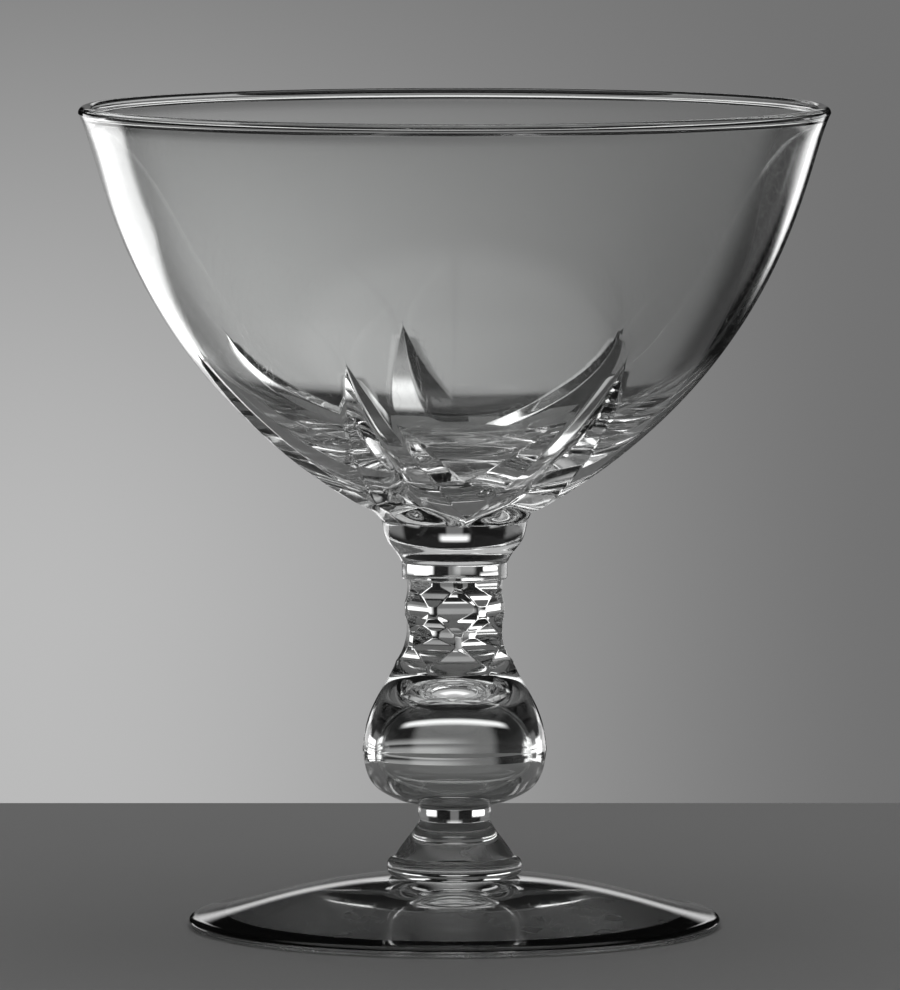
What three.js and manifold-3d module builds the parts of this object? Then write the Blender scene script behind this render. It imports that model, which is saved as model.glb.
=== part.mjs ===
// A stemmed sherbet glass of clear crystal: a wide bowl with leaf-shaped cut flutes,
// a solid button, a ring, a faceted neck, a hollow bulb, a collar, a flare, a wafer and a domed foot.
// Sizes are in millimetres. Z is up, and the glass stands on the plane z = 0, centred on the Z axis.

import * as THREE from 'three';
import { mergeVertices } from 'three/addons/utils/BufferGeometryUtils.js';
import Module from 'manifold-3d';

const wasm = await Module();
wasm.setup();

// Bowl
const rimRadius = 49.4;
const rimThickness = 1.15;
const bowlHeight = 54.7;
const bowlBaseRadius = 9.4;
const bowlOutlineShares = [[0.88, 0.38], [0.91, 0.87]];
const bowlThinHeight = 24;
const bowlBaseGrowth = 5.5;
const bowlGrowthRate = 2.5;
const lipHeight = 2.1;
const lipGrowth = 0.7;
const bowlFloorSink = 0.9;
const bowlFloorShares = [[0.4, 0.8], [0.75, 1]];
const bowlInsideShares = [0.985, 0.06];

// Leaf-shaped cuts round the lower half of the bowl, each at its own turn in degrees from the front.
// They are cut by hand, so their spacing is only nearly even. A leaf's two flanks meet in a fold down its middle.
const leafTurns = [-23, 38, 88, 139.5, -168.5, -118.5, -70];
const leafTipHeight = 23;
const leafHalfWidth = 5.8;
const leafSwell = 1.6;
const leafSlope = 0.27;
const leafRunOut = 1.4;

// Button under the bowl
const buttonHeight = 5.2;
const buttonTopRadius = 9.6;
const buttonBaseRadius = 7.1;
const buttonOutlineShares = [[0.37, 0.4], [0.81, 0.32]];

// Ring under the button
const ringRadius = 6.95;
const ringHeight = 2.4;
const ringEdge = 0.3;

// Faceted neck
const neckHeight = 12.1;
const neckTopRadius = 6.8;
const neckWaistRadius = 6.55;
const neckWaistShare = 0.66;
const neckLowerShares = [[0.655, 0.3], [1, 0.65]];
const neckUpperShares = [[0, 0.35], [0.5, 0.8]];
const facetCount = 6;
const facetTurn = 4;
const facetDepth = 0.62;
const facetWheelRadius = 5.5;
const facetWheelWidth = 16;
const facetRowShares = [0.16, 0.42, 0.68, 0.92];

// Hollow bulb
const bulbRadius = 12.15;
const bulbHeight = 17.8;
const bulbBaseRadius = 5.2;
const bulbTopRadius = 8.2;
const bulbWidestShare = 0.41;
const bulbLowerShares = [[0.9, 0.25], [0.92, 0.47]];
const bulbUpperShares = [[0.08, 0.53], [0.714, 0.762]];
const bulbWall = 1.9;
const bulbFloor = 1.3;
const bulbCrown = 1.5;
const bulbVentRadius = 2.3;
const bubbleLowerShares = [[0.81, 0], [1, 0.45]];
const bubbleUpperShares = [[0, 0.55], [0.45, 1]];

// Collar, flare and wafer under the bulb
const collarRadius = 4.85;
const collarHeight = 2.1;
const collarEdge = 0.35;
const flareHeight = 4.7;
const flareTopRadius = 4.7;
const flareBaseRadius = 7.8;
const flareOutlineShares = [[0.25, 0.34], [0.83, 0.7]];
const waferRadius = 8.95;
const waferHeight = 2.7;
const waferEdge = 1.15;

// Foot
const footRadius = 35.1;
const footHeight = 6.6;
const footEdgeHeight = 1.5;
const footEdge = 1.1;
const footHubRadius = 8.6;
const footRestWidth = 4.2;
const footHollow = 0.9;
const footDomeShares = [[0.51, 0.22], [0.72, 0.75]];
const footHollowShares = [[0.4, 0.15], [0.75, 0.6]];

// Fineness of the turned surfaces
const bowlSides = 120;
const stemSides = 42;
const footSides = 60;
const edgeSteps = 2;
const cutterSides = 28;
const halfTurn = 180;

// How far the cutter of the bubble's opening runs out below the bulb's base
const cutOverrun = 0.5;

// Heights at which the pieces are stacked
const waferBase = footHeight;
const flareBase = waferBase + waferHeight;
const collarBase = flareBase + flareHeight;
const bulbBase = collarBase + collarHeight;
const neckBase = bulbBase + bulbHeight;
const ringBase = neckBase + neckHeight;
const buttonBase = ringBase + ringHeight;
const bowlBase = buttonBase + buttonHeight;

const clearCrystal = { color: 0xe9eef0, roughness: 0.03, metalness: 0, transparent: true, opacity: 0.35 };

function at(radius, height) {
  return new THREE.Vector2(radius, height);
}

function radians(degrees) {
  return (degrees / halfTurn) * Math.PI;
}

// A smooth outline between two points. Each bend is a share of the run across and of the run up.
function sweep(from, to, bendShares) {
  const bends = bendShares.map(([acrossShare, upShare]) =>
    at(from.x + (to.x - from.x) * acrossShare, from.y + (to.y - from.y) * upShare));
  return new THREE.CubicBezierCurve(from, bends[0], bends[1], to);
}

// A rounded edge between two points at the same radius, standing out by the size of the edge.
function roundedEdge(radius, fromHeight, toHeight, edge, steps = edgeSteps) {
  const middle = (fromHeight + toHeight) / 2;
  const half = (toHeight - fromHeight) / 2;
  const arc = new THREE.EllipseCurve(radius - edge, middle, edge, half, -Math.PI / 2, Math.PI / 2);
  return arc.getPoints(2 * steps);
}

// A closed solid from a geometry whose seams are still open.
function solidOf(geometry) {
  const bare = geometry.clone();
  bare.deleteAttribute('normal');
  bare.deleteAttribute('uv');
  const merged = mergeVertices(bare);
  const corners = merged.index.array;
  const triangles = [];
  for (let i = 0; i < corners.length; i += 3) {
    const [a, b, c] = [corners[i], corners[i + 1], corners[i + 2]];
    if (a !== b && b !== c && c !== a) triangles.push(a, b, c);
  }
  return new wasm.Manifold(new wasm.Mesh({
    numProp: 3,
    vertProperties: new Float32Array(merged.attributes.position.array),
    triVerts: new Uint32Array(triangles),
  }));
}

function geometryOf(solid) {
  const mesh = solid.getMesh();
  const geometry = new THREE.BufferGeometry();
  geometry.setAttribute('position', new THREE.BufferAttribute(mesh.vertProperties, mesh.numProp));
  geometry.setIndex(new THREE.BufferAttribute(mesh.triVerts, 1));
  geometry.computeVertexNormals();
  return geometry;
}

// A surface of revolution about Z from an outline that starts and ends on the axis.
function turnedGeometry(outline, sides) {
  const geometry = new THREE.LatheGeometry(outline, sides);
  geometry.rotateX(Math.PI / 2);
  return geometry;
}

function turned(outline, sides) {
  return solidOf(turnedGeometry(outline, sides));
}

// The bowl's outside, and its wall, which thickens a little at the rounded lip and more at the base.
const lipHalf = (rimThickness + lipGrowth) / 2;
const bowlOutside = sweep(at(bowlBaseRadius, 0), at(rimRadius, bowlHeight - lipHalf), bowlOutlineShares);

function bowlWall(height) {
  const baseShare = Math.max(0, (bowlThinHeight - height) / bowlThinHeight);
  const lipShare = THREE.MathUtils.smoothstep(height, bowlHeight - lipHeight, bowlHeight);
  return rimThickness + bowlBaseGrowth * baseShare ** bowlGrowthRate + lipGrowth * lipShare;
}

function bowlInsidePoint(share) {
  const point = bowlOutside.getPointAt(share);
  const along = bowlOutside.getTangentAt(share);
  const wall = bowlWall(point.y);
  return at(point.x - along.y * wall, point.y + along.x * wall);
}

// Half the width of a leaf at a height: it swells from its tip down to the base.
function leafHalfWidthAt(height) {
  const upShare = THREE.MathUtils.clamp(height / leafTipHeight, 0, 1);
  return leafHalfWidth * (1 - upShare ** leafSwell);
}

// How deep the cuts go at one place on the bowl's outside.
function cutDepth(radius, height, turn) {
  const halfWidth = leafHalfWidthAt(height);
  const runOut = THREE.MathUtils.smoothstep(height, 0, leafRunOut);
  const depths = leafTurns.map((leafTurn) => {
    const away = turn - radians(leafTurn);
    const fromEdge = halfWidth - Math.abs(radius * Math.sin(away));
    return Math.cos(away) > 0 ? leafSlope * fromEdge * runOut : 0;
  });
  return Math.max(0, ...depths);
}

function bowl() {
  const rows = 26;
  const insideRows = 12;
  const outside = bowlOutside.getSpacedPoints(rows);
  const lip = new THREE.EllipseCurve(rimRadius - lipHalf, bowlHeight - lipHalf, lipHalf, lipHalf, 0, Math.PI);
  const inside = [];
  const [topShare, floorShare] = bowlInsideShares;
  for (let row = 0; row <= insideRows; row += 1) {
    inside.push(bowlInsidePoint(topShare + (floorShare - topShare) * (row / insideRows)));
  }
  const floorEdge = inside[insideRows];
  const floorMiddle = at(0, floorEdge.y - bowlFloorSink);
  const floor = sweep(floorEdge, floorMiddle, bowlFloorShares).getPoints(edgeSteps);
  const outline = [
    at(0, 0), ...outside, ...lip.getPoints(2 * edgeSteps).slice(1), ...inside, ...floor.slice(1)];
  const geometry = turnedGeometry(outline, bowlSides);
  const places = geometry.attributes.position;
  for (let i = 0; i < places.count; i += 1) {
    const row = (i % outline.length) - 1;
    if (row >= 0 && row <= rows) {
      const along = bowlOutside.getTangentAt(row / rows);
      const [x, y, z] = [places.getX(i), places.getY(i), places.getZ(i)];
      const radius = Math.hypot(x, y);
      const depth = cutDepth(radius, z, Math.atan2(x, -y));
      const inward = (radius - along.y * depth) / radius;
      places.setXYZ(i, x * inward, y * inward, z + along.x * depth);
    }
  }
  return solidOf(geometry);
}

function bowlButton() {
  const rows = 6;
  const side = sweep(at(buttonBaseRadius, 0), at(buttonTopRadius, buttonHeight), buttonOutlineShares);
  return turned([at(0, 0), ...side.getPoints(rows), at(0, buttonHeight)], stemSides);
}

function neckRing() {
  return turned([
    at(0, 0),
    at(ringRadius - ringEdge, 0),
    at(ringRadius, ringEdge),
    at(ringRadius, ringHeight - ringEdge),
    at(ringRadius - ringEdge, ringHeight),
    at(0, ringHeight),
  ], stemSides);
}

// The neck's outline before its facets are cut.
const neckWaist = at(neckWaistRadius, neckHeight * neckWaistShare);
const neckLower = sweep(at(bulbTopRadius, 0), neckWaist, neckLowerShares);
const neckUpper = sweep(neckWaist, at(neckTopRadius, neckHeight), neckUpperShares);

function neckRadiusAt(height) {
  const side = height < neckWaist.y ? neckLower : neckUpper;
  const points = side.getPoints(cutterSides);
  const above = points.findIndex((point) => point.y >= height);
  const [low, high] = [points[Math.max(above - 1, 0)], points[above]];
  const share = high.y === low.y ? 0 : (height - low.y) / (high.y - low.y);
  return low.x + (high.x - low.x) * share;
}

// Cuts that repeat evenly round the axis.
function cutRow(blank, count, firstTurn, cutterAt) {
  let piece = blank;
  for (let i = 0; i < count; i += 1) {
    piece = piece.subtract(cutterAt(firstTurn + (2 * halfTurn * i) / count));
  }
  return piece;
}

// A cutting wheel whose edge reaches into the neck at one height and turn.
function facetWheel(height, turn) {
  const geometry = new THREE.CylinderGeometry(
    facetWheelRadius, facetWheelRadius, facetWheelWidth, cutterSides);
  geometry.translate(neckRadiusAt(height) - facetDepth + facetWheelRadius, 0, height);
  geometry.rotateZ(radians(turn) - Math.PI / 2);
  return solidOf(geometry);
}

function facetedNeck() {
  const rows = 5;
  const outline = [
    at(0, 0), ...neckLower.getPoints(rows), ...neckUpper.getPoints(rows).slice(1), at(0, neckHeight)];
  let neck = turned(outline, stemSides);
  facetRowShares.forEach((rowShare, row) => {
    const stagger = row % 2 === 0 ? 0 : halfTurn / facetCount;
    neck = cutRow(neck, facetCount, facetTurn + stagger, (turn) => facetWheel(neckHeight * rowShare, turn));
  });
  return neck;
}

// The bulb is blown hollow through the small opening in its base, which the collar closes.
function hollowBulb() {
  const rows = 6;
  const widest = at(bulbRadius, bulbHeight * bulbWidestShare);
  const lower = sweep(at(bulbBaseRadius, 0), widest, bulbLowerShares);
  const upper = sweep(widest, at(bulbTopRadius, bulbHeight), bulbUpperShares);
  const bubbleWidest = at(bulbRadius - bulbWall, widest.y);
  const bubbleUpper = sweep(bubbleWidest, at(0, bulbHeight - bulbCrown), bubbleUpperShares);
  const bubbleLower = sweep(at(bulbVentRadius, bulbFloor), bubbleWidest, bubbleLowerShares);
  const bubble = [
    at(0, -cutOverrun), at(bulbVentRadius, -cutOverrun),
    ...bubbleLower.getPoints(rows), ...bubbleUpper.getPoints(rows).slice(1)];
  const blank = turned(
    [at(0, 0), ...lower.getPoints(rows), ...upper.getPoints(rows).slice(1), at(0, bulbHeight)], stemSides);
  return blank.subtract(turned(bubble, stemSides));
}

function lowerCollar() {
  return turned(
    [at(0, 0), ...roundedEdge(collarRadius, 0, collarHeight, collarEdge), at(0, collarHeight)], stemSides);
}

function stemFlare() {
  const rows = 6;
  const side = sweep(at(flareBaseRadius, 0), at(flareTopRadius, flareHeight), flareOutlineShares);
  return turned([at(0, 0), ...side.getPoints(rows), at(0, flareHeight)], stemSides);
}

function footWafer() {
  return turned(
    [at(0, 0), ...roundedEdge(waferRadius, 0, waferHeight, waferEdge), at(0, waferHeight)], stemSides);
}

function foot() {
  const rows = 5;
  const restOuter = footRadius - footEdge;
  const restInner = restOuter - footRestWidth;
  const hollow = sweep(at(0, footHollow), at(restInner, 0), footHollowShares);
  const edge = roundedEdge(footRadius, 0, footEdgeHeight, footEdge);
  const dome = sweep(edge[edge.length - 1], at(footHubRadius, footHeight), footDomeShares.map(
    ([acrossShare, upShare]) => [1 - acrossShare, 1 - upShare]).reverse());
  const outline = [...hollow.getPoints(rows), ...edge, ...dome.getPoints(rows).slice(1), at(0, footHeight)];
  return turned(outline, footSides);
}

const glass = new THREE.Group();

function place(name, solid, height) {
  const mesh = new THREE.Mesh(geometryOf(solid), new THREE.MeshStandardMaterial(clearCrystal));
  mesh.name = name;
  mesh.position.z = height;
  glass.add(mesh);
}

place('foot', foot(), 0);
place('foot_wafer', footWafer(), waferBase);
place('stem_flare', stemFlare(), flareBase);
place('lower_collar', lowerCollar(), collarBase);
place('hollow_bulb', hollowBulb(), bulbBase);
place('faceted_neck', facetedNeck(), neckBase);
place('neck_ring', neckRing(), ringBase);
place('bowl_button', bowlButton(), buttonBase);
place('bowl', bowl(), bowlBase);

export default glass;
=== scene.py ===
"""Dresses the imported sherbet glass: clear crystal with cut leaves, a faceted neck and a blown bubble.

Every gather of crystal is turned from its outline with the spin tool, then its cuts are made in the mesh.
Sizes are in millimetres and become metres as a mesh is made. Z is up, and the glass stands on z = 0.
"""

import logging
import math
from dataclasses import dataclass, field
from enum import Enum

import bmesh
import bpy
from mathutils import Matrix, Vector

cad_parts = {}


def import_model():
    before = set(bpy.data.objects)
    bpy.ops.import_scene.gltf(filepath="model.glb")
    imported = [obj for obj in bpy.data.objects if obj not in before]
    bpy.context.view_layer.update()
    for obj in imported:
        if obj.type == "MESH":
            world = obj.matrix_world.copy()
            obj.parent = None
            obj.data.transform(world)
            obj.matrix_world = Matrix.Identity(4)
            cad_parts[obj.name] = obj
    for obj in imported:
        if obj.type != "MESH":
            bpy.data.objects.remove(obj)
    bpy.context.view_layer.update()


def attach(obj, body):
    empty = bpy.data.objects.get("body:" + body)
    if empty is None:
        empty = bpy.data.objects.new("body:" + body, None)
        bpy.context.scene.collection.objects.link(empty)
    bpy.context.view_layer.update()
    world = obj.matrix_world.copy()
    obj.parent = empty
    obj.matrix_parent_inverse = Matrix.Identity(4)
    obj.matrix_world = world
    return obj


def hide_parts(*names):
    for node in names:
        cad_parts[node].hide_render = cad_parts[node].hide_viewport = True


LOG = logging.getLogger("sherbet_glass")

MM = 0.001
FULL_TURN = 2.0 * math.pi
HALF_TURN_DEGREES = 180.0
WELD_DISTANCE = 0.002 * MM
BODY = "root"
ROW_LAYER = "row"

Point = tuple[float, float]
Bends = tuple[Point, Point]
HalfSector = tuple[float, float, int]
BMesh = bmesh.types.BMesh
Socket = bpy.types.NodeSocket
Tree = bpy.types.ShaderNodeTree


class Slot(Enum):
    """The record's material slots."""

    BOWL = "bowl_crystal"
    STEM = "stem_crystal"
    FOOT = "foot_crystal"


class Face(Enum):
    """What a face of a gather is: open polished glass, or the joint where it is fused to the next gather."""

    OPEN = 0
    FUSED = 1


# Outlines and turned meshes


def mix(low: float, high: float, share: float) -> float:
    """The value at a share of the way from low to high."""
    return low + (high - low) * share


def smooth_step(share: float) -> float:
    """An even ease from 0 to 1, held at both ends."""
    held = min(1.0, max(0.0, share))
    return held * held * (3.0 - 2.0 * held)


def sweep(start: Point, end: Point, bends: Bends, steps: int) -> list[Point]:
    """A smooth outline between two points.

    Args:
        start: Radius and height of the first point.
        end: Radius and height of the last point.
        bends: Two pulls on the curve, each as shares of the run across and of the run up.
        steps: How many stretches the outline has.

    Returns:
        The points of the outline, both ends included.
    """
    first, second = (
        (mix(start[0], end[0], across), mix(start[1], end[1], up)) for across, up in bends
    )
    points = []
    for step in range(steps + 1):
        t = step / steps
        weights = ((1 - t) ** 3, 3 * (1 - t) ** 2 * t, 3 * (1 - t) * t**2, t**3)
        corners = (start, first, second, end)
        points.append(
            (
                sum(weight * corner[0] for weight, corner in zip(weights, corners)),
                sum(weight * corner[1] for weight, corner in zip(weights, corners)),
            )
        )
    return points


def round_over(radius: float, low: float, high: float, edge: float, steps: int) -> list[Point]:
    """A rounded edge between two heights, standing out by the size of the edge.

    Args:
        radius: The outermost radius.
        low: The height at which the edge starts.
        high: The height at which it ends.
        edge: How far the edge stands out beyond its two ends.
        steps: How many stretches the edge has.

    Returns:
        The points from the low end to the high end.
    """
    middle = (low + high) / 2
    half = (high - low) / 2
    angles = (math.pi * (step / steps - 0.5) for step in range(steps + 1))
    return [(radius - edge + edge * math.cos(angle), middle + half * math.sin(angle)) for angle in angles]


def evenly(outline: list[Point], steps: int) -> list[Point]:
    """The same outline with its points at even distances along it."""
    lengths = running_lengths(outline)
    return [point_at(outline, lengths, lengths[-1] * step / steps) for step in range(steps + 1)]


def running_lengths(outline: list[Point]) -> list[float]:
    """The length along an outline at each of its points."""
    lengths = [0.0]
    for before, after in zip(outline, outline[1:]):
        lengths.append(lengths[-1] + math.dist(before, after))
    return lengths


def point_at(outline: list[Point], lengths: list[float], length: float) -> Point:
    """The point at a length along an outline."""
    last = len(lengths) - 1
    index = next((i for i in range(1, last) if lengths[i] >= length), last)
    share = (length - lengths[index - 1]) / (lengths[index] - lengths[index - 1])
    before, after = outline[index - 1], outline[index]
    return (mix(before[0], after[0], share), mix(before[1], after[1], share))


def spin(outline: list[Point], turns: int) -> BMesh:
    """Turns an outline about the glass's axis.

    A quarter is spun and then doubled twice, which is much quicker than one full spin.

    Args:
        outline: Radius and height of each point. An end at radius zero closes on the axis.
        turns: How many steps the full turn has, a multiple of 4.

    Returns:
        The turned surface, open where the outline ends away from the axis. Its layer "row" holds each
        vertex's place in the outline.
    """
    mesh = bmesh.new()
    rows = mesh.verts.layers.int.new(ROW_LAYER)
    rail = []
    for index, (radius, height) in enumerate(outline):
        vert = mesh.verts.new((0.0, -radius * MM, height * MM))
        vert[rows] = index
        rail.append(vert)
    runs = [mesh.edges.new(pair) for pair in zip(rail, rail[1:])]
    quarter = FULL_TURN / 4
    bmesh.ops.spin(
        mesh,
        geom=rail + runs,
        cent=(0, 0, 0),
        axis=(0, 0, 1),
        dvec=(0, 0, 0),
        angle=quarter,
        steps=turns // 4,
    )
    for angle in (quarter, 2 * quarter):
        copy = bmesh.ops.duplicate(mesh, geom=mesh.verts[:] + mesh.edges[:] + mesh.faces[:])
        copied = [item for item in copy["geom"] if isinstance(item, bmesh.types.BMVert)]
        bmesh.ops.rotate(mesh, verts=copied, cent=(0, 0, 0), matrix=Matrix.Rotation(angle, 3, "Z"))
    bmesh.ops.remove_doubles(mesh, verts=mesh.verts, dist=WELD_DISTANCE)
    return mesh


def close_up(mesh: BMesh) -> None:
    """Closes each open ring of a gather with a flat joint face, and turns every face outwards."""
    open_edges = [edge for edge in mesh.edges if edge.is_boundary]
    bmesh.ops.edgeloop_fill(mesh, edges=open_edges, mat_nr=Face.FUSED.value, use_smooth=False)
    bmesh.ops.recalc_face_normals(mesh, faces=mesh.faces)


def turned(outline: list[Point], base: float, turns: int) -> BMesh:
    """A closed gather from the outline of its side, standing at a height."""
    mesh = spin([(radius, base + height) for radius, height in outline], turns)
    close_up(mesh)
    return mesh


def line_inside(outer: BMesh, inner: BMesh) -> None:
    """Adds a closed inner shell to an outer one, so that the two bound a wall of glass.

    Args:
        outer: The outside, whose faces point outwards. The inner shell is added to it.
        inner: The hollow's own surface. It is used up.
    """
    bmesh.ops.recalc_face_normals(inner, faces=inner.faces)
    bmesh.ops.reverse_faces(inner, faces=inner.faces)
    lining = bpy.data.meshes.new("lining")
    inner.to_mesh(lining)
    inner.free()
    outer.from_mesh(lining)
    bpy.data.meshes.remove(lining)


# Finishes


def new_material(name: str) -> tuple[bpy.types.Material, Tree, bpy.types.ShaderNode]:
    """A new material, with its node tree and its main shader."""
    material = bpy.data.materials.new(name)
    material.use_nodes = True
    tree = material.node_tree
    return material, tree, tree.nodes["Principled BSDF"]


def calc(tree: Tree, operation: str, *values: Socket | float) -> Socket:
    """A math node on values or sockets.

    Args:
        tree: The node tree that it goes into.
        operation: What it does, in the shader editor's own word.
        values: Its inputs in order.

    Returns:
        The node's result.
    """
    node = tree.nodes.new("ShaderNodeMath")
    node.operation = operation
    for socket, value in zip(node.inputs, values):
        if isinstance(value, float):
            socket.default_value = value
        else:
            tree.links.new(value, socket)
    return node.outputs[0]


class SurfaceGroup:
    """The crystal's surface effects: the slow waves of blown glass, fine scratches and a patchy film."""

    NAME = "old_crystal_surface"
    INPUTS = (
        ("Vector", "NodeSocketVector", None),
        ("Wave Scale", "NodeSocketFloat", 55.0),
        ("Scratch Scale", "NodeSocketFloat", 900.0),
        ("Scratch Amount", "NodeSocketFloat", 0.2),
        ("Film Amount", "NodeSocketFloat", 0.02),
        ("Wear Height", "NodeSocketFloat", 0.001),
        ("Wear Amount", "NodeSocketFloat", 0.0),
        ("Clear Tint", "NodeSocketColor", (0.99, 0.995, 0.99, 1.0)),
        ("Deep Tint", "NodeSocketColor", (0.97, 0.98, 0.975, 1.0)),
    )
    OUTPUTS = (
        ("Height", "NodeSocketFloat"),
        ("Roughness", "NodeSocketFloat"),
        ("Tint", "NodeSocketColor"),
    )
    WAVE_DETAIL = 2.0
    WAVE_ROUGHNESS = 0.4
    FILM_DETAIL = 5.0
    FILM_ROUGHNESS = 0.6
    SCRATCH_STRETCH = (1.0, 0.3, 0.6)
    SCRATCH_SLANT = (0.3, 0.5, 0.9)
    SCRATCH_WIDTH = 0.012

    @classmethod
    def get(cls) -> Tree:
        """The group, which is built the first time that it is asked for."""
        found = bpy.data.node_groups.get(cls.NAME)
        return found or cls._build()

    @classmethod
    def _build(cls) -> Tree:
        """Builds the group's sockets and nodes."""
        tree = bpy.data.node_groups.new(cls.NAME, "ShaderNodeTree")
        for name, kind, value in cls.INPUTS:
            socket = tree.interface.new_socket(name, in_out="INPUT", socket_type=kind)
            if value is not None:
                socket.default_value = value
        for name, kind in cls.OUTPUTS:
            tree.interface.new_socket(name, in_out="OUTPUT", socket_type=kind)
        given = tree.nodes.new("NodeGroupInput")
        result = tree.nodes.new("NodeGroupOutput")
        link = tree.links.new

        place = given.outputs["Vector"]
        wave_scale = given.outputs["Wave Scale"]
        waves = cls._noise(tree, place, wave_scale, cls.WAVE_DETAIL, cls.WAVE_ROUGHNESS)
        streaks = cls._streaks(tree, place, given.outputs["Scratch Scale"])
        film = cls._noise(tree, place, wave_scale, cls.FILM_DETAIL, cls.FILM_ROUGHNESS)

        worn = calc(tree, "SUBTRACT", given.outputs["Wear Height"], cls._height(tree, place))
        worn = calc(tree, "GREATER_THAN", worn, 0.0)
        wear = calc(tree, "MULTIPLY", worn, given.outputs["Wear Amount"])
        wear = calc(tree, "MULTIPLY", wear, film)
        scratched = calc(tree, "MULTIPLY", streaks, given.outputs["Scratch Amount"])
        dulled = calc(tree, "MULTIPLY", film, given.outputs["Film Amount"])
        rough = calc(tree, "ADD", calc(tree, "ADD", scratched, dulled), wear)
        height = calc(tree, "SUBTRACT", waves, scratched)
        link(height, result.inputs["Height"])
        link(rough, result.inputs["Roughness"])

        blend = tree.nodes.new("ShaderNodeMix")
        blend.data_type = "RGBA"
        link(waves, blend.inputs["Factor"])
        link(given.outputs["Clear Tint"], blend.inputs["A"])
        link(given.outputs["Deep Tint"], blend.inputs["B"])
        link(blend.outputs["Result"], result.inputs["Tint"])
        return tree

    @staticmethod
    def _noise(tree: Tree, vector: Socket, scale: Socket, detail: float, roughness: float) -> Socket:
        """A noise pattern from 0 to 1."""
        node = tree.nodes.new("ShaderNodeTexNoise")
        node.inputs["Detail"].default_value = detail
        node.inputs["Roughness"].default_value = roughness
        tree.links.new(vector, node.inputs["Vector"])
        tree.links.new(scale, node.inputs["Scale"])
        return node.outputs["Fac"]

    @classmethod
    def _streaks(cls, tree: Tree, vector: Socket, scale: Socket) -> Socket:
        """Thin scratches: the narrow borders of stretched cells."""
        stretch = tree.nodes.new("ShaderNodeMapping")
        stretch.inputs["Scale"].default_value = cls.SCRATCH_STRETCH
        stretch.inputs["Rotation"].default_value = cls.SCRATCH_SLANT
        tree.links.new(vector, stretch.inputs["Vector"])
        cells = tree.nodes.new("ShaderNodeTexVoronoi")
        cells.feature = "DISTANCE_TO_EDGE"
        tree.links.new(stretch.outputs["Vector"], cells.inputs["Vector"])
        tree.links.new(scale, cells.inputs["Scale"])
        return calc(tree, "LESS_THAN", cells.outputs["Distance"], cls.SCRATCH_WIDTH)

    @staticmethod
    def _height(tree: Tree, vector: Socket) -> Socket:
        """The height above the table."""
        split = tree.nodes.new("ShaderNodeSeparateXYZ")
        tree.links.new(vector, split.inputs["Vector"])
        return split.outputs["Z"]


@dataclass(frozen=True)
class Crystal:
    """Clear polished crystal.

    Attributes:
        name: The material's name.
        wave_scale: How close the slow waves of the surface stand, per metre.
        wave_depth: The height of those waves, in millimetres.
        scratch_amount: How much a scratch roughens the polish.
        film_amount: How much the dry film on old glass roughens it.
        wear_height: The height, in millimetres, below which the glass is rubbed by the table.
        wear_amount: How much that rubbing roughens it.
        bend: The crystal's index of refraction.
    """

    name: str
    wave_scale: float = 55.0
    wave_depth: float = 0.02
    scratch_amount: float = 0.02
    film_amount: float = 0.01
    wear_height: float = 0.5
    wear_amount: float = 0.0
    bend: float = 1.52

    def material(self) -> bpy.types.Material:
        """Builds the crystal's material."""
        material, tree, shader = new_material(self.name)
        place = tree.nodes.new("ShaderNodeTexCoord")
        surface = tree.nodes.new("ShaderNodeGroup")
        surface.node_tree = SurfaceGroup.get()
        values = {
            "Wave Scale": self.wave_scale,
            "Scratch Amount": self.scratch_amount,
            "Film Amount": self.film_amount,
            "Wear Height": self.wear_height * MM,
            "Wear Amount": self.wear_amount,
        }
        for name, value in values.items():
            surface.inputs[name].default_value = value
        relief = tree.nodes.new("ShaderNodeBump")
        relief.inputs["Distance"].default_value = self.wave_depth * MM
        tree.links.new(place.outputs["Object"], surface.inputs["Vector"])
        tree.links.new(surface.outputs["Height"], relief.inputs["Height"])
        tree.links.new(relief.outputs["Normal"], shader.inputs["Normal"])
        tree.links.new(surface.outputs["Roughness"], shader.inputs["Roughness"])
        tree.links.new(surface.outputs["Tint"], shader.inputs["Base Color"])
        shader.inputs["Transmission Weight"].default_value = 1.0
        shader.inputs["IOR"].default_value = self.bend
        return material


@dataclass(frozen=True)
class FusedJoint:
    """The flat face where two gathers are fused: unseen, so that the crystal reads as one body of glass."""

    name: str = "fused_joint"

    def material(self) -> bpy.types.Material:
        """Builds the joint's see-through material."""
        material, _, shader = new_material(self.name)
        shader.inputs["Alpha"].default_value = 0.0
        return material


@dataclass(frozen=True)
class PaleTabletop:
    """A plain pale tabletop with a faint cloudiness.

    Attributes:
        name: The material's name.
        light: The paler of its two greys.
        dark: The darker one.
        cloud_scale: How close the clouds stand, per metre.
        roughness: How dull it is.
    """

    name: str = "pale_tabletop"
    light: float = 0.52
    dark: float = 0.48
    cloud_scale: float = 14.0
    roughness: float = 0.7

    def material(self) -> bpy.types.Material:
        """Builds the tabletop's material."""
        material, tree, shader = new_material(self.name)
        place = tree.nodes.new("ShaderNodeTexCoord")
        cloud = tree.nodes.new("ShaderNodeTexNoise")
        cloud.inputs["Scale"].default_value = self.cloud_scale
        ramp = tree.nodes.new("ShaderNodeValToRGB")
        ramp.color_ramp.elements[0].color = (self.dark, self.dark, self.dark, 1.0)
        ramp.color_ramp.elements[1].color = (self.light, self.light, self.light, 1.0)
        tree.links.new(place.outputs["Object"], cloud.inputs["Vector"])
        tree.links.new(cloud.outputs["Fac"], ramp.inputs["Fac"])
        tree.links.new(ramp.outputs["Color"], shader.inputs["Base Color"])
        shader.inputs["Roughness"].default_value = self.roughness
        return material


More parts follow.
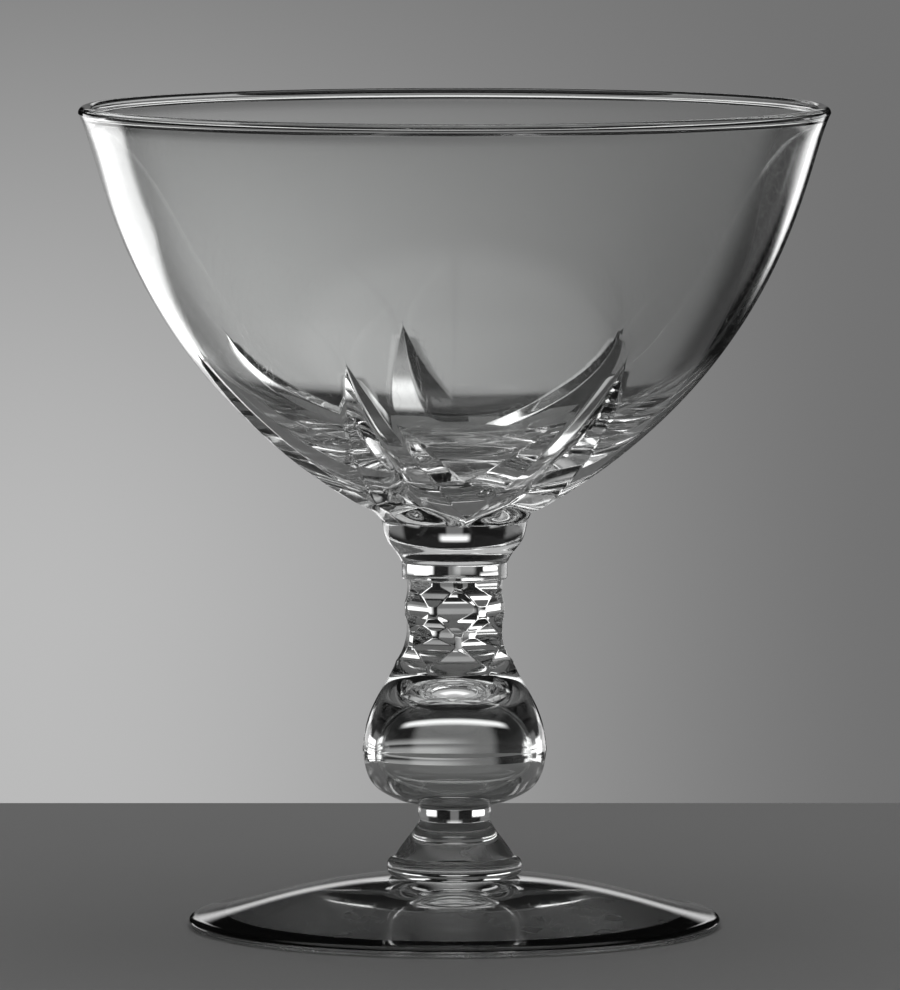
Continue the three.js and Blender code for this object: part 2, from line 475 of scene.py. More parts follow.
@dataclass(frozen=True)
class Gather:
    """One separately gathered piece of crystal and how it is dressed.

    Attributes:
        name: The piece's name in the scene.
        node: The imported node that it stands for.
        slot: The record's material slot.
        crease: The angle, in degrees, above which an edge stays crisp.
    """

    name: str
    node: str
    slot: Slot
    crease: float = 24.0

    def finish(
        self, mesh: BMesh, crystal: bpy.types.Material, joint: bpy.types.Material
    ) -> bpy.types.Object:
        """Makes the mesh a piece of the scene.

        Args:
            mesh: The finished mesh, which is used up.
            crystal: The material of its open faces.
            joint: The material of its fused faces.

        Returns:
            The piece, which rides on the glass's body and stands for its node.
        """
        for face in mesh.faces:
            face.smooth = face.material_index == Face.OPEN.value
        data = bpy.data.meshes.new(self.name)
        mesh.to_mesh(data)
        mesh.free()
        data.set_sharp_from_angle(angle=math.radians(self.crease))
        data.materials.append(crystal)
        data.materials.append(joint)
        piece = bpy.data.objects.new(self.name, data)
        bpy.context.scene.collection.objects.link(piece)
        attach(piece, BODY)
        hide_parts(self.node)
        LOG.info("%s: %d faces", self.name, len(data.polygons))
        return piece


# The bowl


@dataclass
class CutBowl:
    """The wide bowl, whose lower half is cut with pointed leaves.

    Attributes:
        base: The height of the fused joint under the bowl.
        base_radius: The joint's radius.
        rim_radius: The rim's outermost radius.
        rim_thickness: The wall's thickness at the rim.
        height: The bowl's height.
        bends: The pulls of its outside.
        thin_height: The height above the joint from which the wall keeps its thickness.
        base_growth: How much thicker the wall is at the joint than at the rim.
        growth_rate: How suddenly it thickens towards the joint.
        lip_height: The height of the rounded lip.
        lip_growth: How much thicker the lip is than the wall below it.
        inside_shares: Where the inside starts and ends, as shares of the outside's length.
        floor_sink: How far the middle of the floor lies below its edge.
        floor_bends: The pulls of the floor's outline.
        leaf_turns: The turn of each leaf's middle, in degrees from the front.
        leaf_tip: The height of the leaves' tips above the joint, where their lower ends are.
        leaf_run_out: The height over which the cut runs out at its lower end.
        leaf_width: Half the width of a leaf at its lower end.
        leaf_swell: How soon a leaf widens from its tip.
        leaf_slope: How steeply its two flanks fall to the fold in its middle.
        leaf_fold: How softly the flanks meet there, as a share of half the leaf's width.
    """

    base: float = 53.6
    base_radius: float = 9.4
    rim_radius: float = 49.4
    rim_thickness: float = 1.15
    height: float = 54.7
    bends: Bends = ((0.88, 0.38), (0.91, 0.87))
    thin_height: float = 24.0
    base_growth: float = 5.5
    growth_rate: float = 2.5
    lip_height: float = 2.1
    lip_growth: float = 0.7
    inside_shares: Point = (0.985, 0.06)
    floor_sink: float = 0.9
    floor_bends: Bends = ((0.4, 0.8), (0.75, 1.0))
    leaf_turns: tuple[float, ...] = (-168.5, -118.5, -70.0, -23.0, 38.0, 88.0, 139.5)
    leaf_tip: float = 23.0
    leaf_run_out: float = 1.4
    leaf_width: float = 5.8
    leaf_swell: float = 1.6
    leaf_slope: float = 0.27
    leaf_fold: float = 0.12
    _outside: list[Point] = field(default_factory=list)
    _lengths: list[float] = field(default_factory=list)

    # The steps of the turn within half a leaf, and between a leaf's edge and the ridge beside it
    LEAF_STEPS = 15
    GAP_STEPS = 11
    # The rows of the outside that the leaves reach, the rows above them, and the rows of the inside
    CUT_ROWS = 108
    PLAIN_ROWS = 30
    INSIDE_ROWS = 70
    # The stretches that the outside is measured on, and those round the lip and across the floor
    SIDE_STEPS = 600
    RIM_STEPS = 14
    FLOOR_STEPS = 14
    # The least share of a half sector that a leaf's columns take up, the height above the leaves over which
    # the columns even out, and the reach along the outside for its direction
    SMALLEST_SHARE = 0.04
    EASE_HEIGHT = 14.0
    REACH = 0.05

    def __post_init__(self) -> None:
        """Works out the outside's outline once."""
        top = (self.rim_radius, self.height - self._lip_half)
        self._outside = sweep((self.base_radius, 0.0), top, self.bends, self.SIDE_STEPS)
        self._lengths = running_lengths(self._outside)

    def _row(self, length: float) -> tuple[Point, Point]:
        """The outside's point at a length, and the direction along it there."""
        total = self._lengths[-1]
        before = point_at(self._outside, self._lengths, max(0.0, length - self.REACH))
        after = point_at(self._outside, self._lengths, min(total, length + self.REACH))
        run = math.dist(before, after)
        along = ((after[0] - before[0]) / run, (after[1] - before[1]) / run)
        return point_at(self._outside, self._lengths, length), along

    @property
    def _lip_half(self) -> float:
        """Half the thickness of the lip, which is the radius of its rounded top."""
        return (self.rim_thickness + self.lip_growth) / 2

    def _wall(self, height: float) -> float:
        """The wall's thickness at a height above the joint."""
        thick_share = max(0.0, (self.thin_height - height) / self.thin_height)
        lip_share = smooth_step((height - self.height + self.lip_height) / self.lip_height)
        base_wall = self.base_growth * thick_share**self.growth_rate
        return self.rim_thickness + base_wall + self.lip_growth * lip_share

    def _half_width(self, height: float) -> float:
        """Half the width of a leaf at a height above the joint."""
        down = (self.leaf_tip - height) / self.leaf_tip
        if down <= 0 or height <= 0:
            return 0.0
        return self.leaf_width * (1.0 - (1.0 - down) ** self.leaf_swell)

    def _cut(self, height: float, half_width: float, across: float) -> float:
        """The depth of a leaf's cut at a height above the joint and a distance across from its middle."""
        if across >= half_width:
            return 0.0
        fold = self.leaf_fold
        run_out = smooth_step(height / self.leaf_run_out)
        fall = (math.hypot(across / half_width, fold) - fold) / (math.hypot(1.0, fold) - fold)
        return self.leaf_slope * half_width * (1.0 - fall) * run_out

    def _outline(self) -> tuple[list[Point], list[float]]:
        """The whole outline of the bowl, and the length along the outside of each row there."""
        total = self._lengths[-1]
        cut_length = next(
            length for length, point in zip(self._lengths, self._outside) if point[1] > self.leaf_tip
        )
        lengths = [cut_length * row / self.CUT_ROWS for row in range(self.CUT_ROWS)]
        lengths += [mix(cut_length, total, row / self.PLAIN_ROWS) for row in range(self.PLAIN_ROWS + 1)]
        outside = [self._row(length)[0] for length in lengths]

        half = self._lip_half
        angles = [math.pi * step / self.RIM_STEPS for step in range(1, self.RIM_STEPS + 1)]
        rim = [
            (self.rim_radius - half + half * math.cos(angle), self.height - half + half * math.sin(angle))
            for angle in angles
        ]
        inside = []
        for row in range(self.INSIDE_ROWS + 1):
            share = mix(*self.inside_shares, row / self.INSIDE_ROWS)
            (radius, height), along = self._row(total * share)
            wall = self._wall(height)
            inside.append((radius - along[1] * wall, height + along[0] * wall))
        floor_middle = (0.0, inside[-1][1] - self.floor_sink)
        floor = sweep(inside[-1], floor_middle, self.floor_bends, self.FLOOR_STEPS)
        return outside + rim + inside + floor[1:], lengths

    def _half_sectors(self) -> list[HalfSector]:
        """For each half sector, the leaf's turn, the turn of the ridge beside it and the side it lies on."""
        turns = [math.radians(turn) for turn in self.leaf_turns]
        following = turns[1:] + [turns[0] + FULL_TURN]
        halves = []
        for leaf, next_leaf in zip(turns, following):
            ridge = (leaf + next_leaf) / 2
            halves.append((leaf, ridge, 1))
            halves.append((next_leaf, ridge, -1))
        return halves

    def _column_turn(self, column: int, half: HalfSector, leaf_share: float) -> float:
        """The turn of one column of vertices, so that one column follows the leaf's edge.

        Args:
            column: The column's place in its half sector, counted from where the half sector starts.
            half: The half sector, as given by _half_sectors.
            leaf_share: The share of the half sector that the leaf takes up at this row.

        Returns:
            The turn, in radians from the front.
        """
        leaf, ridge, side = half
        columns = self.LEAF_STEPS + self.GAP_STEPS
        even_share = self.LEAF_STEPS / columns
        share = column / columns if side > 0 else 1.0 - column / columns
        if share <= even_share:
            placed = share / even_share * leaf_share
        else:
            placed = mix(leaf_share, 1.0, (share - even_share) / (1.0 - even_share))
        return mix(leaf, ridge, placed)

    def _cut_leaves(self, mesh: BMesh, lengths: list[float]) -> None:
        """Cuts the leaves into the outside.

        Args:
            mesh: The turned bowl, in the bowl's own heights.
            lengths: The length along the outside of each of its rows, which come first in the outline.
        """
        rows = mesh.verts.layers.int[ROW_LAYER]
        columns = self.LEAF_STEPS + self.GAP_STEPS
        even_share = self.LEAF_STEPS / columns
        halves = self._half_sectors()
        row_facts = []
        for length in lengths:
            (radius, height), along = self._row(length)
            half_width = self._half_width(height)
            edge = math.asin(min(1.0, half_width / radius))
            ease = smooth_step((height - self.leaf_tip) / self.EASE_HEIGHT)
            row_facts.append((radius, height, along, half_width, edge, ease))

        for vert in mesh.verts:
            row = vert[rows]
            radius_now = math.hypot(vert.co.x, vert.co.y)
            if radius_now < WELD_DISTANCE:
                continue
            turn = math.atan2(vert.co.x, -vert.co.y) % FULL_TURN
            column = round(turn / FULL_TURN * columns * len(halves)) % (columns * len(halves))
            half = halves[column // columns]
            if row >= len(lengths):
                placed = self._column_turn(column % columns, half, even_share)
                self._put(vert, radius_now / MM, vert.co.z / MM, placed)
                continue
            radius, height, along, half_width, edge, ease = row_facts[row]
            gap = abs(half[1] - half[0])
            share = min(1.0 - self.SMALLEST_SHARE, max(self.SMALLEST_SHARE, edge / gap))
            share = mix(share, even_share, ease)
            placed = self._column_turn(column % columns, half, share)
            across = radius * math.sin(abs(placed - half[0]))
            cut = self._cut(height, half_width, across)
            self._put(vert, radius - along[1] * cut, height + along[0] * cut, placed)

    @staticmethod
    def _put(vert: bmesh.types.BMVert, radius: float, height: float, turn: float) -> None:
        """Moves a vertex to a radius and height, in millimetres, at a turn from the front."""
        vert.co = Vector((radius * math.sin(turn), -radius * math.cos(turn), height)) * MM

    def build(self) -> BMesh:
        """Builds the bowl, cut and standing on its joint."""
        outline, lengths = self._outline()
        columns = (self.LEAF_STEPS + self.GAP_STEPS) * 2 * len(self.leaf_turns)
        mesh = spin(outline, columns)
        self._cut_leaves(mesh, lengths)
        bmesh.ops.translate(mesh, verts=mesh.verts, vec=(0, 0, self.base * MM))
        close_up(mesh)
        return mesh


# The stem


@dataclass
class Stem:
    """The stem's fused gathers, from the button under the bowl down to the flare.

    Attributes:
        turns: The steps of a full turn.
        flare_base: The height at which the flare stands.
        flare_height: The flare's height.
        flare_base_radius: Its radius at the bottom.
        flare_top_radius: Its radius at the top.
        flare_bends: The pulls of its outline.
        collar_radius: The collar's radius.
        collar_height: The collar's height.
        collar_edge: How far its rounded edge stands out.
        bulb_height: The bulb's height.
        bulb_radius: Its widest radius.
        bulb_base_radius: Its radius at the bottom.
        bulb_top_radius: Its radius at the top.
        bulb_widest: Where it is widest, as a share of its height.
        bulb_lower_bends: The pulls of its outline below the widest place.
        bulb_upper_bends: The pulls above it.
        bubble_wall: The glass round the bubble at the widest place.
        bubble_floor: The glass below the bubble.
        bubble_crown: The glass above the bubble.
        neck_height: The neck's height.
        neck_waist_radius: The radius at its waist.
        neck_top_radius: The radius at its top.
        neck_waist: Where the waist is, as a share of the height.
        neck_lower_bends: The pulls of its outline below the waist.
        neck_upper_bends: The pulls above it.
        facet_count: The facets in one row round the neck.
        facet_turn: The turn of the first row, in degrees.
        facet_depth: How deep the wheel cuts.
        facet_wheel: The wheel's radius.
        facet_rows: The heights of the rows, as shares of the neck's height.
        ring_radius: The ring's radius.
        ring_height: The ring's height.
        ring_edge: How far its edge is rounded.
        button_height: The button's height.
        button_base_radius: Its radius at the bottom.
        button_top_radius: Its radius at the top.
        button_bends: The pulls of its outline.
        bowl_joint_radius: The radius of the joint between button and bowl.
        bubble_lower_bends: The pulls of the bubble's outline below the widest place.
        bubble_upper_bends: The pulls above it.
    """

    turns: int = 320
    flare_base: float = 9.3
    flare_height: float = 4.7
    flare_base_radius: float = 7.8
    flare_top_radius: float = 4.7
    flare_bends: Bends = ((0.25, 0.34), (0.83, 0.7))
    collar_radius: float = 4.85
    collar_height: float = 2.1
    collar_edge: float = 0.35
    bulb_height: float = 17.8
    bulb_radius: float = 12.15
    bulb_base_radius: float = 5.2
    bulb_top_radius: float = 8.2
    bulb_widest: float = 0.41
    bulb_lower_bends: Bends = ((0.9, 0.25), (0.92, 0.47))
    bulb_upper_bends: Bends = ((0.08, 0.53), (0.714, 0.762))
    bubble_wall: float = 1.9
    bubble_floor: float = 1.3
    bubble_crown: float = 1.5
    neck_height: float = 12.1
    neck_waist_radius: float = 6.55
    neck_top_radius: float = 6.8
    neck_waist: float = 0.66
    neck_lower_bends: Bends = ((0.655, 0.3), (1.0, 0.65))
    neck_upper_bends: Bends = ((0.0, 0.35), (0.5, 0.8))
    facet_count: int = 6
    facet_turn: float = 4.0
    facet_depth: float = 0.62
    facet_wheel: float = 5.5
    facet_rows: tuple[float, ...] = (0.16, 0.42, 0.68, 0.92)
    ring_radius: float = 6.95
    ring_height: float = 2.4
    ring_edge: float = 0.3
    button_height: float = 5.2
    button_base_radius: float = 7.1
    button_top_radius: float = 9.6
    button_bends: Bends = ((0.37, 0.4), (0.81, 0.32))
    bowl_joint_radius: float = 9.4
    bubble_lower_bends: Bends = ((0.85, 0.0), (1.0, 0.45))
    bubble_upper_bends: Bends = ((0.0, 0.55), (0.45, 1.0))

    # The stretches of each outline and edge, and the even rows that the facets are ground into
    FLARE_STEPS = 40
    COLLAR_STEPS = 24
    BULB_LOWER_STEPS = 60
    BULB_UPPER_STEPS = 70
    BUBBLE_LOWER_STEPS = 50
    BUBBLE_UPPER_STEPS = 60
    NECK_LOWER_STEPS = 80
    NECK_UPPER_STEPS = 60
    NECK_ROWS = 126
    RING_HALF_STEPS = 6
    BUTTON_STEPS = 50

    @property
    def collar_base(self) -> float:
        """The height at which the collar stands."""
        return self.flare_base + self.flare_height

    @property
    def bulb_base(self) -> float:
        """The height at which the bulb stands."""
        return self.collar_base + self.collar_height

    @property
    def neck_base(self) -> float:
        """The height at which the neck stands."""
        return self.bulb_base + self.bulb_height

    @property
    def ring_base(self) -> float:
        """The height at which the ring stands."""
        return self.neck_base + self.neck_height

    @property
    def button_base(self) -> float:
        """The height at which the button stands."""
        return self.ring_base + self.ring_height

    @property
    def collar_joint(self) -> float:
        """The radius of the joints above and below the collar."""
        return self.collar_radius - self.collar_edge

    def flare(self) -> BMesh:
        """The flare that spreads from the collar to the foot's wafer."""
        foot = (self.flare_base_radius, 0.0)
        top = (self.flare_top_radius, self.flare_height)
        side = sweep(foot, top, self.flare_bends, self.FLARE_STEPS)
        return turned([*side, (self.collar_joint, self.flare_height)], self.flare_base, self.turns)

    def collar(self) -> BMesh:
        """The short collar under the bulb."""
        side = round_over(self.collar_radius, 0.0, self.collar_height, self.collar_edge, self.COLLAR_STEPS)
        return turned(side, self.collar_base, self.turns)

    def bulb(self) -> BMesh:
        """The blown bulb with its closed bubble of air."""
        widest = (self.bulb_radius, self.bulb_height * self.bulb_widest)
        top = (self.bulb_top_radius, self.bulb_height)
        lower = sweep((self.bulb_base_radius, 0.0), widest, self.bulb_lower_bends, self.BULB_LOWER_STEPS)
        upper = sweep(widest, top, self.bulb_upper_bends, self.BULB_UPPER_STEPS)
        outer = turned([(self.collar_joint, 0.0), *lower, *upper[1:]], self.bulb_base, self.turns)
        bubble_widest = (self.bulb_radius - self.bubble_wall, widest[1])
        floor = (0.0, self.bubble_floor)
        crown = (0.0, self.bulb_height - self.bubble_crown)
        bubble = sweep(floor, bubble_widest, self.bubble_lower_bends, self.BUBBLE_LOWER_STEPS)
        bubble += sweep(bubble_widest, crown, self.bubble_upper_bends, self.BUBBLE_UPPER_STEPS)[1:]
        inner = spin([(radius, self.bulb_base + height) for radius, height in bubble], self.turns)
        line_inside(outer, inner)
        return outer

    def _facet_rows_at(self, neck: list[Point]) -> list[tuple[float, float, float]]:
        """The height, the round radius and the first turn of each row of facets."""
        rows = []
        for index, share in enumerate(self.facet_rows):
            height = self.neck_height * share
            radius = next(point[0] for point in neck if point[1] >= height)
            stagger = 0.0 if index % 2 == 0 else HALF_TURN_DEGREES / self.facet_count
            rows.append((height, radius, math.radians(self.facet_turn + stagger)))
        return rows

    def _facet_limit(self, rows: list[tuple[float, float, float]], height: float, turn: float) -> float:
        """The radius that the facets leave at a height and turn of the neck."""
        pitch = FULL_TURN / self.facet_count
        limit = math.inf
        for row_height, radius, first_turn in rows:
            off = abs(height - row_height)
            if off >= self.facet_wheel:
                continue
            away = (turn - first_turn + pitch / 2) % pitch - pitch / 2
            wheel_edge = radius - self.facet_depth + self.facet_wheel
            wheel_edge -= math.sqrt(self.facet_wheel**2 - off**2)
            limit = min(limit, wheel_edge / math.cos(away))
        return limit

    def neck(self) -> BMesh:
        """The neck, whose rows of small facets are ground in with a wheel."""
        waist = (self.neck_waist_radius, self.neck_height * self.neck_waist)
        top = (self.neck_top_radius, self.neck_height)
        side = sweep((self.bulb_top_radius, 0.0), waist, self.neck_lower_bends, self.NECK_LOWER_STEPS)
        side += sweep(waist, top, self.neck_upper_bends, self.NECK_UPPER_STEPS)[1:]
        mesh = spin(evenly(side, self.NECK_ROWS), self.turns)
        rows = self._facet_rows_at(side)
        for vert in mesh.verts:
            radius = math.hypot(vert.co.x, vert.co.y) / MM
            limit = self._facet_limit(rows, vert.co.z / MM, math.atan2(vert.co.x, -vert.co.y))
            if limit < radius:
                vert.co.x *= limit / radius
                vert.co.y *= limit / radius
        bmesh.ops.translate(mesh, verts=mesh.verts, vec=(0, 0, self.neck_base * MM))
        close_up(mesh)
        return mesh

    def ring(self) -> BMesh:
        """The plain ring above the neck."""
        whole_edge = round_over(
            self.ring_radius, 0.0, 2 * self.ring_edge, self.ring_edge, 2 * self.RING_HALF_STEPS
        )
        low = whole_edge[: self.RING_HALF_STEPS + 1]
        high = [(radius, self.ring_height - height) for radius, height in reversed(low)]
        joint = self.neck_top_radius - self.facet_depth
        return turned([(joint, 0.0), *low, *high], self.ring_base, self.turns)

    def button(self) -> BMesh:
        """The solid button that carries the bowl."""
        foot = (self.button_base_radius, 0.0)
        top = (self.button_top_radius, self.button_height)
        side = sweep(foot, top, self.button_bends, self.BUTTON_STEPS)
        low_joint = (self.ring_radius - self.ring_edge, 0.0)
        high_joint = (self.bowl_joint_radius, self.button_height)
        return turned([low_joint, *side, high_joint], self.button_base, self.turns)


# The foot


@dataclass
class Foot:
    """The round domed foot and the wafer of crystal that joins it to the stem.

    Attributes:
        turns: The steps of a full turn.
        radius: The foot's radius.
        height: Its height at the hub.
        edge_height: The height of its edge.
        edge: How far the edge is rounded.
        hub_radius: The radius at which the dome ends.
        rest_width: The width of the flat ring that it stands on.
        hollow: The height of the hollow underneath.
        dome_bends: The pulls of the dome, from the hub outwards.
        hollow_bends: The pulls of the hollow.
        wafer_radius: The wafer's radius.
        wafer_height: Its height.
        wafer_edge: How far its edge is rounded.
    """

    turns: int = 400
    radius: float = 35.1
    height: float = 6.6
    edge_height: float = 1.5
    edge: float = 1.1
    hub_radius: float = 8.6
    rest_width: float = 4.2
    hollow: float = 0.9
    dome_bends: Bends = ((0.28, 0.25), (0.49, 0.78))
    hollow_bends: Bends = ((0.4, 0.15), (0.75, 0.6))
    wafer_radius: float = 8.95
    wafer_height: float = 2.7
    wafer_edge: float = 1.15

    # The stretches of the hollow underneath, the foot's rounded edge, the dome and the wafer's edge
    UNDER_STEPS = 60
    RIM_STEPS = 18
    DOME_STEPS = 90
    WAFER_STEPS = 28

    @property
    def wafer_joint(self) -> float:
        """The radius of the joints above and below the wafer."""
        return self.wafer_radius - self.wafer_edge

    def disc(self) -> BMesh:
        """The foot itself, hollowed a little underneath."""
        rest_outer = self.radius - self.edge
        rest_inner = rest_outer - self.rest_width
        under = sweep((0.0, self.hollow), (rest_inner, 0.0), self.hollow_bends, self.UNDER_STEPS)
        rim = round_over(self.radius, 0.0, self.edge_height, self.edge, self.RIM_STEPS)
        dome = sweep(rim[-1], (self.hub_radius, self.height), self.dome_bends, self.DOME_STEPS)
        outline = [*under, *rim, *dome[1:], (self.wafer_joint, self.height)]
        return turned(outline, 0.0, self.turns)

    def wafer(self) -> BMesh:
        """The wafer between the foot and the flare."""
        side = round_over(self.wafer_radius, 0.0, self.wafer_height, self.wafer_edge, self.WAFER_STEPS)
        return turned(side, self.height, self.turns)


# The studio


@dataclass(frozen=True)
class SoftPanel:
    """A soft panel of light far from the glass, by its direction.

    Attributes:
        azimuth: The direction of its middle, in degrees from straight behind the glass towards the right.
        elevation: The height of its middle above the horizon, in degrees.
        width: Its width, in degrees.
        height: Its height, in degrees.
        strength: How bright it is.
        softness: The width of its soft edge, in degrees.
    """

    azimuth: float
    elevation: float
    width: float
    height: float
    strength: float
    softness: float


# How bright the walls of the room are, as the glass shows them
WALL = 0.165


@dataclass
class Studio:
    """A plain tabletop, a plain backdrop with a painted pool of light on it, and soft panels of light.

    Attributes:
        panels: The soft panels.
        pool: The pool of light on the wall at the left. It lights the glass, and it is also painted onto the
            backdrop that the camera sees, which is brighter towards the lower left.
        backdrop: The brightness of the plain backdrop that the camera sees.
        dusk: The brightness of the rest of the room.
        table_width: The tabletop's width, in millimetres.
        table_back: How far it reaches behind the glass.
        table_front: How far it reaches in front of it.
        table_cells: How many cells the tabletop's mesh has each way.
        bounces: How many surfaces light may meet in all.
        glass_bounces: How many of them it may pass through.
        gloss_bounces: How many of them may be mirror-like.
    """

    panels: tuple[SoftPanel, ...] = (
        # The wall behind the glass, and a soft strip above it that lights the rim
        SoftPanel(0.0, -4.0, 9.0, 24.0, WALL, 1.0),
        SoftPanel(0.0, 9.5, 16.0, 3.6, 1.2, 1.8),
        # The low glow on the left, its fade towards the middle, and two bars that light the ring and the bulb
        SoftPanel(-31.0, -15.0, 34.0, 13.0, 2.2, 2.0),
        SoftPanel(-10.5, -15.5, 7.0, 12.0, 0.8, 2.0),
        SoftPanel(-34.0, -5.6, 20.0, 2.0, 2.5, 1.0),
        SoftPanel(-33.0, 0.5, 24.0, 7.0, 2.0, 1.5),
        # The weaker glow on the right and its bar
        SoftPanel(36.0, -7.0, 38.0, 10.0, 1.4, 2.0),
        SoftPanel(30.0, 0.5, 18.0, 7.0, 1.4, 1.5),
        # A panel high behind, and one over the whole tabletop
        SoftPanel(0.0, 67.0, 80.0, 12.0, 0.6, 3.0),
        SoftPanel(0.0, 90.0, 360.0, 80.0, 0.5, 5.0),
        # The walls at the sides and in front
        SoftPanel(180.0, -12.0, 290.0, 50.0, WALL, 3.0),
    )
    # A real light for the glass, and also a painted pool of light on the backdrop that the camera sees
    pool: SoftPanel = SoftPanel(-7.9, -9.0, 16.1, 11.8, 0.33, 2.5)
    backdrop: float = WALL
    dusk: float = 0.005
    table_width: float = 1600.0
    table_back: float = 143.0
    table_front: float = 1200.0
    table_cells: int = 8
    bounces: int = 32
    glass_bounces: int = 24
    gloss_bounces: int = 12

    def floor(self) -> bpy.types.Object:
        """The tabletop that the glass stands on."""
        mesh = bmesh.new()
        bmesh.ops.create_grid(mesh, x_segments=self.table_cells, y_segments=self.table_cells, size=0.5)
        depth = self.table_back + self.table_front
        bmesh.ops.scale(mesh, vec=(self.table_width * MM, depth * MM, 1.0), verts=mesh.verts)
        middle = (self.table_back - self.table_front) / 2
        bmesh.ops.translate(mesh, vec=(0.0, middle * MM, 0.0), verts=mesh.verts)
        data = bpy.data.meshes.new("tabletop")
        mesh.to_mesh(data)
        mesh.free()
        data.materials.append(PaleTabletop().material())
        table = bpy.data.objects.new("tabletop", data)
        bpy.context.scene.collection.objects.link(table)
        return table

    def light(self) -> None:
        """Lights the room with soft panels, and shows the camera a plain backdrop with the pool of light
        painted on it, brighter towards the lower left.
        """
        scene = bpy.context.scene
        world = bpy.data.worlds.new("soft_room")
        scene.world = world
        world.use_nodes = True
        tree = world.node_tree
        background = tree.nodes["Background"]
        azimuth, elevation = self._direction(tree)
        total: Socket | float = self.dusk
        for panel in self.panels:
            total = calc(tree, "ADD", self._panel(tree, panel, azimuth, elevation), total)
        pool = self._panel(tree, self.pool, azimuth, elevation)
        total = calc(tree, "ADD", total, pool)
        path = tree.nodes.new("ShaderNodeLightPath")
        seen = tree.nodes.new("ShaderNodeMix")
        tree.links.new(path.outputs["Is Camera Ray"], seen.inputs["Factor"])
        tree.links.new(total, seen.inputs["A"])
        # The camera sees the plain backdrop with the pool of light painted onto it
        tree.links.new(calc(tree, "ADD", pool, self.backdrop), seen.inputs["B"])
        tree.links.new(seen.outputs["Result"], background.inputs["Color"])

    def _direction(self, tree: Tree) -> tuple[Socket, Socket]:
        """The azimuth and elevation, in degrees, of the direction that light comes from."""
        place = tree.nodes.new("ShaderNodeTexCoord")
        split = tree.nodes.new("ShaderNodeSeparateXYZ")
        tree.links.new(place.outputs["Generated"], split.inputs["Vector"])
        degrees = math.degrees(1.0)
        turn = calc(tree, "ARCTAN2", split.outputs["X"], split.outputs["Y"])
        rise = calc(tree, "ARCSINE", split.outputs["Z"])
        return calc(tree, "MULTIPLY", turn, degrees), calc(tree, "MULTIPLY", rise, degrees)

    def _panel(self, tree: Tree, panel: SoftPanel, azimuth: Socket, elevation: Socket) -> Socket:
        """One panel's light in every direction."""
        off_turn = calc(tree, "SUBTRACT", azimuth, panel.azimuth)
        off_turn = calc(tree, "WRAP", off_turn, HALF_TURN_DEGREES, -HALF_TURN_DEGREES)
        off_rise = calc(tree, "SUBTRACT", elevation, panel.elevation)
        across = self._edge(tree, off_turn, panel.width / 2, panel.softness)
        up = self._edge(tree, off_rise, panel.height / 2, panel.softness)
        shape = calc(tree, "MULTIPLY", across, up)
        return calc(tree, "MULTIPLY", shape, panel.strength)

    def _edge(self, tree: Tree, off: Socket, half: float, softness: float) -> Socket:
        """A soft edge: 1 within half a panel of its middle, and 0 outside."""
        node = tree.nodes.new("ShaderNodeMapRange")
        node.interpolation_type = "SMOOTHSTEP"
        tree.links.new(calc(tree, "ABSOLUTE", off), node.inputs["Value"])
        node.inputs["From Min"].default_value = half - softness
        node.inputs["From Max"].default_value = half + softness
        node.inputs["To Min"].default_value = 1.0
        node.inputs["To Max"].default_value = 0.0
        return node.outputs["Result"]

    def render_settings(self) -> None:
        """Lets light pass through the many surfaces of the cut glass, and keeps its tones plain."""
        scene = bpy.context.scene
        scene.view_settings.view_transform = "Standard"
        scene.cycles.use_denoising = True
        scene.cycles.max_bounces = self.bounces
        scene.cycles.transmission_bounces = self.glass_bounces
        scene.cycles.glossy_bounces = self.gloss_bounces
        scene.cycles.transparent_max_bounces = self.bounces


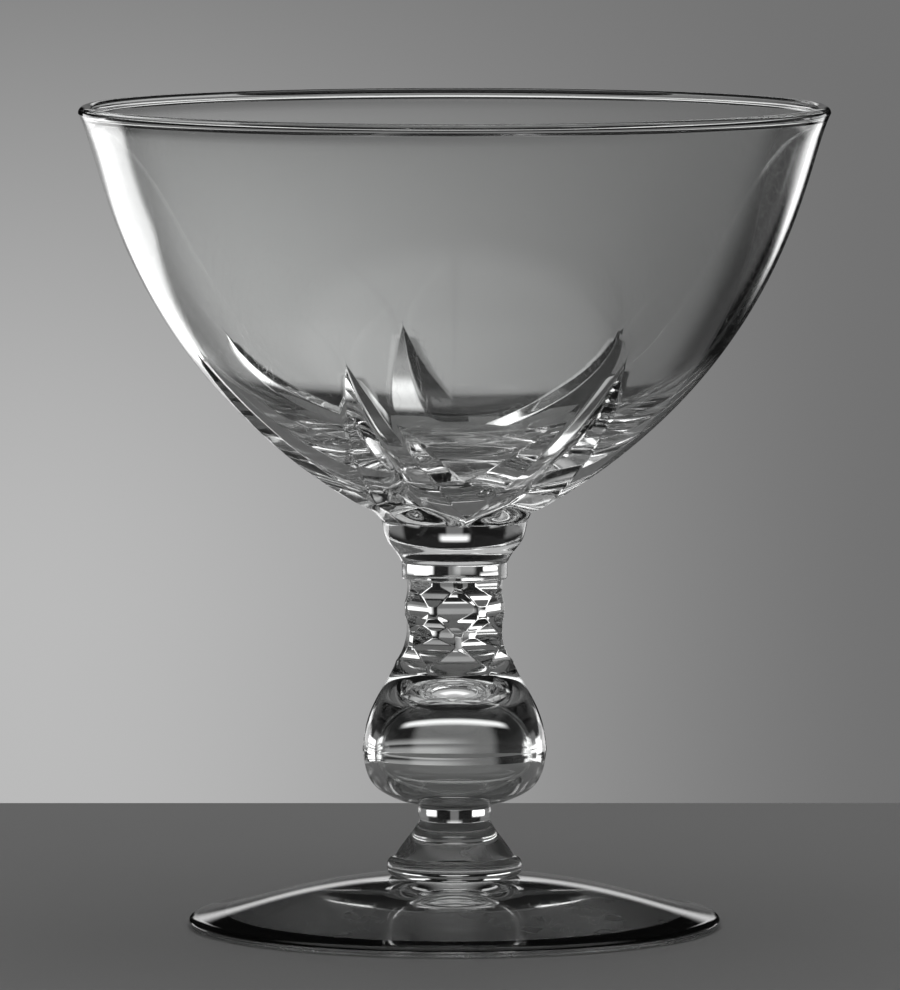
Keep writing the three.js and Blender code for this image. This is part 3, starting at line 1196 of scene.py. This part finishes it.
@dataclass(frozen=True)
class Viewpoint:
    """The camera at the photograph's viewing angle.

    Attributes:
        distance: From the camera to the glass's axis, in millimetres.
        tilt: How far the camera looks down, in degrees.
        aim_height: The height on the axis that the camera looks at.
        aim_side: How far to the left of the axis it looks.
        lens: The focal length.
        sensor: The sensor's width.
        reach: How far the camera sees, in metres.
    """

    distance: float = 1433.0
    tilt: float = 4.85
    aim_height: float = 57.0
    aim_side: float = 0.592
    lens: float = 396.0
    sensor: float = 36.0
    reach: float = 100.0

    def build(self) -> bpy.types.Object:
        """Makes the camera and sets it as the scene's."""
        tilt = math.radians(self.tilt)
        data = bpy.data.cameras.new("viewpoint")
        data.lens = self.lens
        data.sensor_width = self.sensor
        data.clip_end = self.reach
        camera = bpy.data.objects.new("viewpoint", data)
        bpy.context.scene.collection.objects.link(camera)
        camera.location = (
            -self.aim_side * MM,
            -self.distance * math.cos(tilt) * MM,
            (self.aim_height + self.distance * math.sin(tilt)) * MM,
        )
        camera.rotation_euler = (math.pi / 2 - tilt, 0.0, 0.0)
        bpy.context.scene.camera = camera
        return camera


def main() -> None:
    """Builds the glass, its finishes, the studio and the camera."""
    logging.basicConfig(level=logging.INFO, format="%(name)s: %(message)s")
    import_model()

    crystals = {
        Slot.BOWL: Crystal("bowl_crystal").material(),
        Slot.STEM: Crystal("stem_crystal", wave_scale=120.0, wave_depth=0.01).material(),
        Slot.FOOT: Crystal("foot_crystal", wave_depth=0.015, wear_amount=0.5).material(),
    }
    joint = FusedJoint().material()

    bowl = CutBowl()
    stem = Stem()
    foot = Foot()
    pieces = (
        (Gather("cut_bowl", "bowl", Slot.BOWL), bowl.build),
        (Gather("solid_button", "bowl_button", Slot.STEM), stem.button),
        (Gather("plain_ring", "neck_ring", Slot.STEM), stem.ring),
        (Gather("cut_neck", "faceted_neck", Slot.STEM), stem.neck),
        (Gather("blown_bulb", "hollow_bulb", Slot.STEM), stem.bulb),
        (Gather("short_collar", "lower_collar", Slot.STEM), stem.collar),
        (Gather("spread_flare", "stem_flare", Slot.STEM), stem.flare),
        (Gather("joining_wafer", "foot_wafer", Slot.FOOT), foot.wafer),
        (Gather("domed_foot", "foot", Slot.FOOT), foot.disc),
    )
    for gather, build in pieces:
        gather.finish(build(), crystals[gather.slot], joint)

    studio = Studio()
    studio.floor()
    studio.light()
    studio.render_settings()
    Viewpoint().build()


if __name__ == "__main__":
    main()
